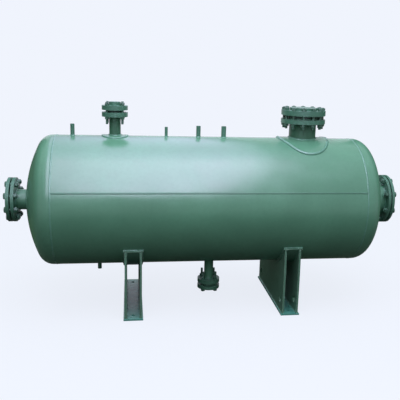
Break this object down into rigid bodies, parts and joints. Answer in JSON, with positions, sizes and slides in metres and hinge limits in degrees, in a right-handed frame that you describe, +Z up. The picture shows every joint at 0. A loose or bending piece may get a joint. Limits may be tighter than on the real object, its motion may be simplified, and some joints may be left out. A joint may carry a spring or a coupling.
{
  "type": "refrigerant liquid receiver",
  "caption": "Horizontal welded pressure vessel with dished heads on two saddles, with blinded flanged nozzles at both ends, top and bottom, and small threaded stubs.",
  "frame": {"origin": "on the floor, at the centre of the four anchor bolt holes", "axes": "+X along the vessel towards the larger end nozzle, +Z up"},
  "size_m": [3.1436, 1.024, 1.634],
  "materials": {
    "vessel_paint": "gloss green enamel over steel plate",
    "weld_paint": "gloss green enamel over weld bead",
    "flange_paint": "gloss green enamel over machined steel",
    "bolting_paint": "green enamel over bolts and nuts",
    "saddle_paint": "gloss green enamel over cut plate",
    "gasket_sheet": "dark compressed fibre sheet"
  },
  "bodies": {
    "root": {"bottom_coupling": "vessel_paint", "bottom_cover": "flange_paint", "bottom_flange": "flange_paint", "bottom_gasket": "gasket_sheet", "bottom_neck": "vessel_paint", "bottom_nuts": "bolting_paint", "bottom_studs": "bolting_paint", "large_cover": "flange_paint", "large_flange": "flange_paint", "large_gasket": "gasket_sheet", "large_neck": "vessel_paint", "large_nuts": "bolting_paint", "large_pad": "vessel_paint", "large_studs": "bolting_paint", "left_base_plate": "saddle_paint", "left_bolts": "bolting_paint", "left_cover": "flange_paint", "left_flange": "flange_paint", "left_gasket": "gasket_sheet", "left_head": "vessel_paint", "left_neck": "vessel_paint", "left_nuts": "bolting_paint", "left_wear_plate": "saddle_paint", "left_web_one": "saddle_paint", "left_web_two": "saddle_paint", "left_weld": "weld_paint", "lengthwise_weld": "weld_paint", "right_base_plate": "saddle_paint", "right_bolts": "bolting_paint", "right_cover": "flange_paint", "right_flange": "flange_paint", "right_gasket": "gasket_sheet", "right_head": "vessel_paint", "right_neck": "vessel_paint", "right_nuts": "bolting_paint", "right_wear_plate": "saddle_paint", "right_web_one": "saddle_paint", "right_web_two": "saddle_paint", "right_weld": "weld_paint", "shell": "vessel_paint", "small_cover": "flange_paint", "small_flange": "flange_paint", "small_gasket": "gasket_sheet", "small_neck": "vessel_paint", "small_nuts": "bolting_paint", "small_pad": "vessel_paint", "small_studs": "bolting_paint", "top_coupling_four": "vessel_paint", "top_coupling_one": "vessel_paint", "top_coupling_three": "vessel_paint", "top_coupling_two": "vessel_paint"}
  },
  "joints": []
}
